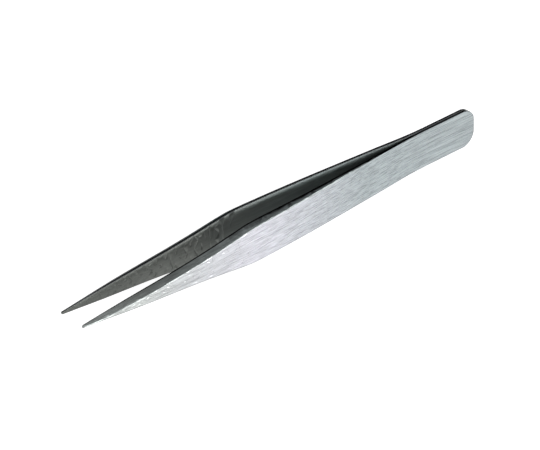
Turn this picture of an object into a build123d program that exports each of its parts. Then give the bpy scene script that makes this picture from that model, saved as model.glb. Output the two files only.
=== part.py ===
from build123d import *
import math
import os

os.makedirs("parts", exist_ok=True)

# Driving dimensions, mm. A name that ends in _at is a distance from the points towards the heel.
length = 130.0
joint_length = 16.5
heel_corner_radius = 3.9

# Outline of the flat blank, as half widths: fine point, belly, and nearly parallel back.
point_half_width = 0.38
belly_at = 52.8
belly_half_width = 6.0
belly_softness = 0.3
heel_half_width = 5.32
waist_length = 20.0

# How far the inner face of an open arm stands from the middle plane at its point.
point_gap_half = 3.64

# The strip is full thickness at the belly. It is ground thinner at its point and towards the heel.
point_thickness = 1.3
front_thickness = 2.0
heel_thickness = 0.8
full_thickness_at = 22.0
thinning_start_at = 44.0
thinning_end_length = 28.0

# Long bevels on the outside of each arm leave a narrow flat on its edges, and a ridge at its point.
# They are ground at one angle, so they run out where the strip gets thin, and are steeper at the point.
edge_flat = 0.55
edge_flat_at_point = 0.3
edge_flat_full_at = 26.0
bevel_height = 0.93
point_steepness = 1.3
ridge_half_width = 0.08
ridge_softness = 0.15

# Sharp corners are broken by hand: the outer ones a little, the inner ones a little more.
outer_break = 0.13
inner_break = 0.15
nose_length = 0.3
nose_share = 0.6

joint_at = length - joint_length
waist_at = length - waist_length

# Half widths on the taper, as shares of the way to the belly and of the belly's own half width.
taper_shape = [(0.25, 0.286), (0.49, 0.454), (0.74, 0.677), (1.0, 1.0)]
taper = [(0.0, point_half_width)] + [(belly_at * along, belly_half_width * wide) for along, wide in taper_shape]

# The bow of an arm, as shares of the way to the joint and of the opening at the point.
bow_shape = [(0.0, 1.0), (0.23, 0.967), (0.44, 0.871), (0.635, 0.676), (0.837, 0.308), (1.0, 0.0)]
bow = [(joint_at * along, point_gap_half * out) for along, out in bow_shape]

# The sections are closest together at the belly, where the outline turns.
taper_shares = [0.08, 0.15, 0.25, 0.36, 0.49, 0.61, 0.74, 0.83, 0.91, 0.966, 1.0]
back_shares = [0.02, 0.055, 0.105, 0.17, 0.25, 0.335, 0.43, 0.53, 0.63, 0.73, 0.83, 0.91, 1.0]
stations = [nose_length]
stations += [belly_at * share for share in taper_shares]
stations += [belly_at + (joint_at - belly_at) * share for share in back_shares]


def slope_at(points, k):
    """Slope of a smooth curve at one of its points, from the points on both sides."""
    before = points[max(k - 1, 0)]
    after = points[min(k + 1, len(points) - 1)]
    return (after[1] - before[1]) / (after[0] - before[0])


def curve_through(points, x, end_slope):
    """Height at x of a smooth curve through (place, height) points."""
    last = len(points) - 1
    k = max(i for i in range(last) if i == 0 or points[i][0] <= x)
    step = points[k + 1][0] - points[k][0]
    t = (x - points[k][0]) / step
    leave = step * slope_at(points, k)
    arrive = step * (end_slope if k + 1 == last else slope_at(points, k + 1))
    rise = points[k + 1][1] - points[k][1]
    return points[k][1] + leave * t + (3 * rise - 2 * leave - arrive) * t**2 + (leave + arrive - 2 * rise) * t**3


def ease(x, start, end):
    """0 up to the start, 1 from the end, with a smooth change between."""
    t = min(max((x - start) / (end - start), 0.0), 1.0)
    return t * t * (3 - 2 * t)


def smaller(a, b, softness):
    """The smaller of two values, rounded off where they cross."""
    return (a + b) / 2 - math.hypot((a - b) / 2, softness / 2)


def half_width(x):
    """The taper meets the back in a small rounded corner at the belly."""
    steepest = slope_at(taper, len(taper) - 1)
    front = curve_through(taper, min(x, belly_at), steepest) + steepest * max(x - belly_at, 0.0)
    narrowing = (belly_half_width - heel_half_width) / (waist_at - belly_at)
    back = belly_half_width - narrowing * (min(x, waist_at) - belly_at)
    return smaller(front, back, belly_softness)


def arm_section(x):
    """Corners of the rear arm's section, as (distance from the middle plane, height over the axis)."""
    wide = half_width(x)
    inner = curve_through(bow, x, 0.0)
    thinned = ease(x, thinning_start_at, length - thinning_end_length)
    thick = front_thickness + (heel_thickness - front_thickness) * thinned
    thick -= (front_thickness - point_thickness) * (1 - ease(x, 0.0, full_thickness_at))
    filled_out = ease(x, 0.0, edge_flat_full_at)
    flat = edge_flat_at_point + (edge_flat - edge_flat_at_point) * filled_out
    flat += (heel_thickness - outer_break - edge_flat) * thinned
    flat = min(flat, thick - outer_break)
    high = bevel_height * (thick - flat) / (front_thickness - edge_flat)
    high *= point_steepness + (1 - point_steepness) * filled_out
    # Towards the point the two bevels draw together and leave a narrow ridge of the outer face.
    face = -smaller(high - wide, -ridge_half_width, ridge_softness)
    deep = (thick - flat) * (wide - face) / high
    high = wide - face
    bevel = math.hypot(deep, high)
    short = 1 - outer_break / (bevel + 2 * outer_break)
    inset = outer_break * face / (face + outer_break)
    soft = inner_break * wide / (wide + inner_break)
    upper = [
        (inner, wide - soft),
        (inner + soft, wide),
        (inner + flat, wide),
        (inner + flat + deep * short, wide - high * short),
        (inner + flat + deep, face - inset),
    ]
    return upper + [(out, -up) for out, up in reversed(upper)]


# The arms stand on their lower edges, so the widest station touches the ground.
axis_height = max(half_width(x) for x in stations)
side_plane = Plane(origin=(-length / 2, 0, axis_height), x_dir=(1, 0, 0), z_dir=(0, -1, 0))


def lay_out(x, corners):
    """The section's corners as a face across the arm."""
    across = Plane(origin=(x - length / 2, 0, axis_height), x_dir=(0, 1, 0), z_dir=(1, 0, 0))
    with BuildSketch(across, mode=Mode.PRIVATE) as face:
        with BuildLine():
            Polyline(*corners, close=True)
        make_face()
    return face.sketch


def drawn_in(corners, share):
    """A section made smaller about its own middle."""
    middle = sum(out for out, up in corners) / len(corners)
    return [(middle + (out - middle) * share, up * share) for out, up in corners]


# Rear arm: a strip of spring steel, cut to its outline, bowed, thinned and bevelled.
with BuildPart() as rear_arm:
    loft([lay_out(x, arm_section(x)) for x in stations])
    nose = [lay_out(0.0, drawn_in(arm_section(nose_length), nose_share)),
            lay_out(nose_length, arm_section(nose_length))]
    loft(nose, ruled=True)
    extrude(lay_out(joint_at, arm_section(joint_at)), amount=joint_length)
    # The heel is rounded off at its corners. Ahead of it the outline stays as it is.
    with BuildSketch(side_plane) as heel_outline:
        with Locations((length / 2, 0)):
            RectangleRounded(length, 2 * half_width(length), heel_corner_radius)
            Rectangle(length - 2 * joint_length, 4 * axis_height)
        with Locations((length / 4, 0)):
            Rectangle(length / 2, 4 * axis_height)
    extrude(amount=front_thickness + 2 * point_gap_half, both=True, mode=Mode.INTERSECT)
    heel_outside = rear_arm.faces().filter_by(Axis.Y).sort_by(Axis.Y)[-1]
    end_edges = heel_outside.edges().filter_by(lambda e: e.center().X > length / 2 - heel_corner_radius)
    chamfer(end_edges, outer_break)
rear_arm.part.label = "rear_arm"

# Front arm: the same strip, turned over and laid face to face with the first at the heel.
with BuildPart() as front_arm:
    mirror(rear_arm.part, about=Plane.XZ)
front_arm.part.label = "front_arm"

export_step(rear_arm.part, "parts/rear_arm.step")
export_step(front_arm.part, "parts/front_arm.step")
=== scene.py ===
import math

import bmesh
import bpy
from mathutils import Matrix, Vector


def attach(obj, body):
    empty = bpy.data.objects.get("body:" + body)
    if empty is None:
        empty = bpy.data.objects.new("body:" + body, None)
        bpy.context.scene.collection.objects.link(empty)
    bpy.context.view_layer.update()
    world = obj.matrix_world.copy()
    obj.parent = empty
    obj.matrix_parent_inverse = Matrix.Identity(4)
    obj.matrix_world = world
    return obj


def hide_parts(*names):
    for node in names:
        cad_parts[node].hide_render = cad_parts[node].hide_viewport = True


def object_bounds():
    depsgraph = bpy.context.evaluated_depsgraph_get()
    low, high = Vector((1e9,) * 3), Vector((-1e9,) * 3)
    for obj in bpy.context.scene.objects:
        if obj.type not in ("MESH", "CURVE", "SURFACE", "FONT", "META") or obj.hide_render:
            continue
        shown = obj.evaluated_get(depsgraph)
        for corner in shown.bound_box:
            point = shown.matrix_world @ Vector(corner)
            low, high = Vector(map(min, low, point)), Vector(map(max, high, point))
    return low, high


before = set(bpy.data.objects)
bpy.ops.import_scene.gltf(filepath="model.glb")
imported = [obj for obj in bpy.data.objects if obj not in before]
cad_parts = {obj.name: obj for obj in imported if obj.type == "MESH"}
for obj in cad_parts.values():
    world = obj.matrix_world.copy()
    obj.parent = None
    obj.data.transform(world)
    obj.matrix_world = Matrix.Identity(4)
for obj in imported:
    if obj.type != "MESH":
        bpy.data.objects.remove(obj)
cad_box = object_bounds()

# The two arms. Each is one strip of stainless spring steel, blanked, bowed and ground thinner behind its
# belly, with long bevels ground on its outside. They lie face to face at the heel, where spot welds hold them.
MM = 0.001
POINT_END = cad_box[0][0]
HEEL_END = cad_box[1][0]
AXIS_HEIGHT = cad_box[1][2] / 2
ROLL_OFF_WIDTH = 1.6 * MM
NOISE_LOW = 0.3
NOISE_HIGH = 0.7
ROUGHNESS_SPREAD = 0.05


def linear(hex_colour):
    """An sRGB hex colour as the linear RGBA that a shader reads."""
    parts = [int(hex_colour[i:i + 2], 16) / 255 for i in (1, 3, 5)]
    return (*[c / 12.92 if c <= 0.04045 else ((c + 0.055) / 1.055) ** 2.4 for c in parts], 1.0)


def add_node(tree, kind, settings=None, links=None):
    """A new node with its settings, its sockets' values, and its links from other nodes' outputs."""
    node = tree.nodes.new(kind)
    for name, value in (settings or {}).items():
        if isinstance(name, int) or name in node.inputs:
            node.inputs[name].default_value = value
        else:
            setattr(node, name, value)
    for name, source in (links or {}).items():
        tree.links.new(source, node.inputs[name])
    return node


def ground_steel(name, tones, contrast, roughness, grain_mm, grain_height_mm, roll_off_mm=0.0,
                 edge_tint="#ffffff"):
    """Steel ground along the arm. Its tone changes along the arm, and a face may roll off at its edges."""
    material = bpy.data.materials.new(name)
    material.use_nodes = True
    tree = material.node_tree
    tree.nodes.clear()
    place = add_node(tree, "ShaderNodeTexCoord")
    apart = add_node(tree, "ShaderNodeSeparateXYZ", {}, {"Vector": place.outputs["Object"]})
    along_arm = add_node(tree, "ShaderNodeMapRange", {"From Min": POINT_END, "From Max": HEEL_END},
                         {"Value": apart.outputs["X"]})
    tone = add_node(tree, "ShaderNodeValToRGB", {}, {"Fac": along_arm.outputs["Result"]})
    while len(tone.color_ramp.elements) < len(tones):
        tone.color_ramp.elements.new(1.0)
    for stop, (x_mm, hex_colour) in zip(tone.color_ramp.elements, tones):
        stop.position = (x_mm * MM - POINT_END) / (HEEL_END - POINT_END)
        stop.color = linear(hex_colour)
    # Real grinding lines are a few hundredths of a millimetre apart. They are drawn coarser, so that they show.
    along, across = grain_mm
    lines = add_node(tree, "ShaderNodeMapping",
                     {"Scale": (1 / (along * MM), 1 / (across * MM), 1 / (across * MM))},
                     {"Vector": place.outputs["Object"]})
    grain = add_node(tree, "ShaderNodeTexNoise", {"Scale": 1.0, "Detail": 4.0, "Roughness": 0.65},
                     {"Vector": lines.outputs["Vector"]})
    shade = add_node(tree, "ShaderNodeMapRange", {"From Min": NOISE_LOW, "From Max": NOISE_HIGH,
                     "To Min": 1 - contrast, "To Max": 1.0}, {"Value": grain.outputs["Fac"]})
    streaked = add_node(tree, "ShaderNodeVectorMath", {"operation": "SCALE"},
                        {0: tone.outputs["Color"], "Scale": shade.outputs["Result"]})
    dull = add_node(tree, "ShaderNodeMapRange", {"From Min": NOISE_LOW, "From Max": NOISE_HIGH,
                    "To Min": roughness - ROUGHNESS_SPREAD, "To Max": roughness + ROUGHNESS_SPREAD},
                    {"Value": grain.outputs["Fac"]})
    # How far a place on a face is from the arm's upper or lower edge, from the half width kept on the mesh.
    half = add_node(tree, "ShaderNodeAttribute", {"attribute_name": "half_width"})
    height = add_node(tree, "ShaderNodeMath", {"operation": "SUBTRACT", 1: AXIS_HEIGHT}, {0: apart.outputs["Z"]})
    off_axis = add_node(tree, "ShaderNodeMath", {"operation": "ABSOLUTE"}, {0: height.outputs["Value"]})
    inward = add_node(tree, "ShaderNodeMath", {"operation": "SUBTRACT"},
                      {0: half.outputs["Fac"], 1: off_axis.outputs["Value"]})
    near_edge = add_node(tree, "ShaderNodeMapRange", {"From Min": 0.0, "From Max": ROLL_OFF_WIDTH, "To Min": 1.0,
                         "To Max": 0.0}, {"Value": inward.outputs["Value"]})
    rounded = add_node(tree, "ShaderNodeMath", {"operation": "POWER", 1: 2.0}, {0: near_edge.outputs["Result"]})
    drop = add_node(tree, "ShaderNodeMath", {"operation": "MULTIPLY", 1: -roll_off_mm * MM},
                    {0: rounded.outputs["Value"]})
    surface = add_node(tree, "ShaderNodeMath", {"operation": "MULTIPLY_ADD", 1: grain_height_mm * MM},
                       {0: grain.outputs["Fac"], 2: drop.outputs["Value"]})
    bump = add_node(tree, "ShaderNodeBump", {"Strength": 1.0, "Distance": 1.0},
                    {"Height": surface.outputs["Value"]})
    # A specular tint other than white dims the glancing reflection, as painted shade.
    shader = add_node(tree, "ShaderNodeBsdfPrincipled", {"Metallic": 1.0, "Specular Tint": linear(edge_tint)},
                      {"Base Color": streaked.outputs["Vector"], "Roughness": dull.outputs["Result"],
                       "Normal": bump.outputs["Normal"]})
    add_node(tree, "ShaderNodeOutputMaterial", {}, {"Surface": shader.outputs["BSDF"]})
    return material


# The broad outer face was ground on a belt. It looks pale and satin, with fine lines along the arm.
satin_face = ground_steel("satin ground stainless steel", [(-47, "#c6cac8"), (-12, "#d9d9e0"), (27, "#abb3b5")],
                          0.5, 0.28, (9.0, 0.3), 0.002, 0.15)
# The inner face is as it came from pickling, and is dull from it. Its colour is darkened as painted shade, for the
# shade that falls between the arms, and it shows a soft light line at its edges.
dull_inside = ground_steel("dull pickled stainless steel, painted shade", [(-50, "#656864"), (-25, "#787b77"), (10, "#747c7b")],
                           0.3, 0.5, (8.0, 0.5), 0.0015, 0.35)
# The long bevels were ground on a finer wheel, which leaves them glossier than the face beside them. Their darker
# colour is painted shade, and a grey tint dims their glancing reflection as painted shade, which darkens the far
# arm's upper edge.
bevel_steel = ground_steel("fine ground stainless steel, painted shade", [(-47, "#a8aeac"), (10, "#a2acae")],
                           0.4, 0.2, (10.0, 0.35), 0.001, 0.0, "#606060")
# The corners between bevel and face were broken with a stone. They catch the light as a thin bright line. Their
# colour is darker than the face's: painted shade, which darkens the arm's lower outline.
broken_corner = ground_steel("hand stoned stainless steel, painted shade", [(-47, "#7e8382"), (27, "#7e8382")],
                             0.2, 0.22, (3.0, 0.3), 0.0005)
# The upper and lower edges are as blanked. Their almost black colour is painted shade, and the narrow breaks on the
# inside share it.
dark_edge = ground_steel("blanked stainless edge, painted shade", [(-47, "#505254"), (27, "#505254")],
                         0.2, 0.2, (3.0, 0.3), 0.0005)

OUTER_FACE, INNER_FACE, BEVEL, BREAK, EDGE = range(5)
# How squarely a face looks up or down, or outwards, as the part of its normal that points that way.
EDGE_FROM = 0.97
OUTER_FROM = 0.96
INNER_BELOW = -0.9
BEVEL_RANGE = (0.4, 0.85)
CORNER_MERGE = 0.002 * MM
SHARP_CORNER = math.radians(33.0)
CUT_SPACING = 1.6 * MM
CUT_MERGE = 0.0002 * MM
CUT_COUNT = int((HEEL_END - POINT_END) / CUT_SPACING)
CUTS = [POINT_END + CUT_SPACING * (k + 0.5) for k in range(CUT_COUNT)]
for node_name, outward in (("front_arm", -1.0), ("rear_arm", 1.0)):
    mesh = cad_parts[node_name].data.copy()
    mesh.materials.clear()
    for material in (satin_face, dull_inside, bevel_steel, broken_corner, dark_edge):
        mesh.materials.append(material)
    shape = bmesh.new()
    shape.from_mesh(mesh)
    bmesh.ops.remove_doubles(shape, verts=shape.verts, dist=CORNER_MERGE)
    shape.normal_update()
    for face in shape.faces:
        out = face.normal.y * outward
        face.smooth = True
        if abs(face.normal.z) > EDGE_FROM:
            face.material_index = EDGE
        elif out > OUTER_FROM:
            face.material_index = OUTER_FACE
        elif out < INNER_BELOW:
            face.material_index = INNER_FACE
        elif BEVEL_RANGE[0] < out < BEVEL_RANGE[1]:
            face.material_index = BEVEL
        # The narrow breaks on the inside get the edges' painted shade.
        elif out < 0:
            face.material_index = EDGE
        else:
            face.material_index = BREAK
    # Upright cuts across the arm, with each cut's corners in one line, let the light run evenly over the faces.
    half_width = shape.verts.layers.float.new("half_width")
    for x in CUTS:
        whole = shape.verts[:] + shape.edges[:] + shape.faces[:]
        bmesh.ops.bisect_plane(shape, geom=whole, dist=CUT_MERGE, plane_co=(x, 0, 0), plane_no=(1, 0, 0))
    for vertex in shape.verts:
        vertex[half_width] = abs(vertex.co.z - AXIS_HEIGHT)
    for x in CUTS:
        ring = [vertex for vertex in shape.verts if abs(vertex.co.x - x) < CUT_MERGE]
        for part in (OUTER_FACE, INNER_FACE):
            line = [vertex for vertex in ring if any(face.material_index == part for face in vertex.link_faces)]
            end = max(line, key=lambda vertex: vertex[half_width])
            for vertex in line:
                vertex.co.y = end.co.y
                vertex[half_width] = end[half_width]
    for edge in shape.edges:
        if edge.is_manifold:
            edge.smooth = edge.calc_face_angle() < SHARP_CORNER
    shape.to_mesh(mesh)
    shape.free()
    arm = bpy.data.objects.new(node_name + "_steel", mesh)
    bpy.context.scene.collection.objects.link(arm)
    shading = arm.modifiers.new("even shading", "WEIGHTED_NORMAL")
    shading.keep_sharp = True
    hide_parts(node_name)
    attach(arm, "root")

# The table is a sheet of opal acrylic, lit from below.
# It is far larger than the tool, so no edge of it shows.
FLOOR_SIDE = 8.0
bpy.ops.mesh.primitive_plane_add(size=FLOOR_SIDE)
table = bpy.context.object
table.name = "table"
acrylic = bpy.data.materials.new("back-lit opal acrylic")
acrylic.use_nodes = True
tree = acrylic.node_tree
tree.nodes.clear()
shader = add_node(tree, "ShaderNodeBsdfPrincipled", {"Base Color": linear("#bdbdbe"), "Roughness": 0.7,
                  "Emission Color": (1.0, 1.0, 1.0, 1.0), "Emission Strength": 0.85})
add_node(tree, "ShaderNodeOutputMaterial", {}, {"Surface": shader.outputs["BSDF"]})
table.data.materials.append(acrylic)

# Studio light: a pale tent that is open and dark behind the tool on its right, a soft window low at the front right,
# and one large soft lamp at the left. A stop gives how bright the tent is at a cosine away from the side named.
DARK_SIDE = Vector((0.547, 0.630, 0.551))
WINDOW_SIDE = Vector((0.553, -0.823, 0.100)).normalized()
TENT = [(-1.0, 0.8), (0.1, 0.8), (0.35, 0.5), (0.5, 0.32), (0.62, 0.2), (0.73, 0.04), (0.82, 0.006),
        (1.0, 0.004)]
WINDOW = [(-1.0, 0.0), (0.8, 0.0), (0.96, 5.0), (1.0, 5.0)]
BACKDROP = (0.9, 0.9, 0.9)
world = bpy.data.worlds.new("light tent")
world.use_nodes = True
tree = world.node_tree
tree.nodes.clear()
aim = add_node(tree, "ShaderNodeTexCoord")
glows = []
for side, stops in ((DARK_SIDE, TENT), (WINDOW_SIDE, WINDOW)):
    toward = add_node(tree, "ShaderNodeVectorMath", {"operation": "DOT_PRODUCT"}, {0: aim.outputs["Generated"]})
    toward.inputs[1].default_value = side
    spread = add_node(tree, "ShaderNodeMapRange", {"From Min": -1.0}, {"Value": toward.outputs["Value"]})
    fade = add_node(tree, "ShaderNodeValToRGB", {}, {"Fac": spread.outputs["Result"]})
    while len(fade.color_ramp.elements) < len(stops):
        fade.color_ramp.elements.new(1.0)
    for stop, (cosine, brightness) in zip(fade.color_ramp.elements, stops):
        stop.position = (cosine + 1) / 2
        stop.color = (brightness, brightness, brightness, 1.0)
    glows.append(fade.outputs["Color"])
both = add_node(tree, "ShaderNodeVectorMath", {"operation": "ADD"}, {0: glows[0], 1: glows[1]})
seen = add_node(tree, "ShaderNodeLightPath")
glow = add_node(tree, "ShaderNodeMix", {"data_type": "VECTOR", 5: BACKDROP},
                {0: seen.outputs["Is Camera Ray"], 4: both.outputs["Vector"]})
background = add_node(tree, "ShaderNodeBackground", {"Strength": 1.0}, {"Color": glow.outputs[1]})
add_node(tree, "ShaderNodeOutputWorld", {}, {"Surface": background.outputs["Background"]})
bpy.context.scene.world = world

LAMP_FROM = Vector((-0.70, -0.30, 0.65)).normalized()
LAMP_DISTANCE = 1.6
lamp_data = bpy.data.lights.new("soft lamp", "AREA")
lamp_data.shape = "DISK"
lamp_data.size = 1.2
lamp_data.energy = 9.0
lamp = bpy.data.objects.new("soft_lamp", lamp_data)
lamp.location = LAMP_FROM * LAMP_DISTANCE
lamp.rotation_mode = "QUATERNION"
lamp.rotation_quaternion = LAMP_FROM.to_track_quat("Z", "Y")
lamp.visible_camera = False
bpy.context.scene.collection.objects.link(lamp)

# The camera looks down on the front arm from the side of the points, through a long lens.
# The photograph is 540 pixels wide, and the shift is given in its pixels.
AZIMUTH = math.radians(-40.95)
ELEVATION = math.radians(33.43)
ROLL = math.radians(-0.62)
DISTANCE = 1.127
AIM = Vector((0.0, 0.0, 5.92 * MM))
SENSOR_WIDTH = 36.0
LENS = 307.6
PHOTO_WIDTH = 540
SHIFT_RIGHT = -8.255
SHIFT_UP = -6.398
back = Vector((math.sin(AZIMUTH) * math.cos(ELEVATION), -math.cos(AZIMUTH) * math.cos(ELEVATION),
               math.sin(ELEVATION)))
sideways = Vector((math.cos(AZIMUTH), math.sin(AZIMUTH), 0.0))
upright = back.cross(sideways)
right = sideways * math.cos(ROLL) + upright * math.sin(ROLL)
up = upright * math.cos(ROLL) - sideways * math.sin(ROLL)
camera_data = bpy.data.cameras.new("camera")
camera_data.sensor_fit = "HORIZONTAL"
camera_data.sensor_width = SENSOR_WIDTH
camera_data.lens = LENS
camera_data.shift_x = SHIFT_RIGHT / PHOTO_WIDTH
camera_data.shift_y = SHIFT_UP / PHOTO_WIDTH
camera_data.clip_end = 20.0
camera = bpy.data.objects.new("camera", camera_data)
camera.matrix_world = Matrix((right, up, back)).transposed().to_4x4()
camera.location = AIM + back * DISTANCE
bpy.context.scene.collection.objects.link(camera)
bpy.context.scene.camera = camera
bpy.context.scene.view_settings.view_transform = "Standard"
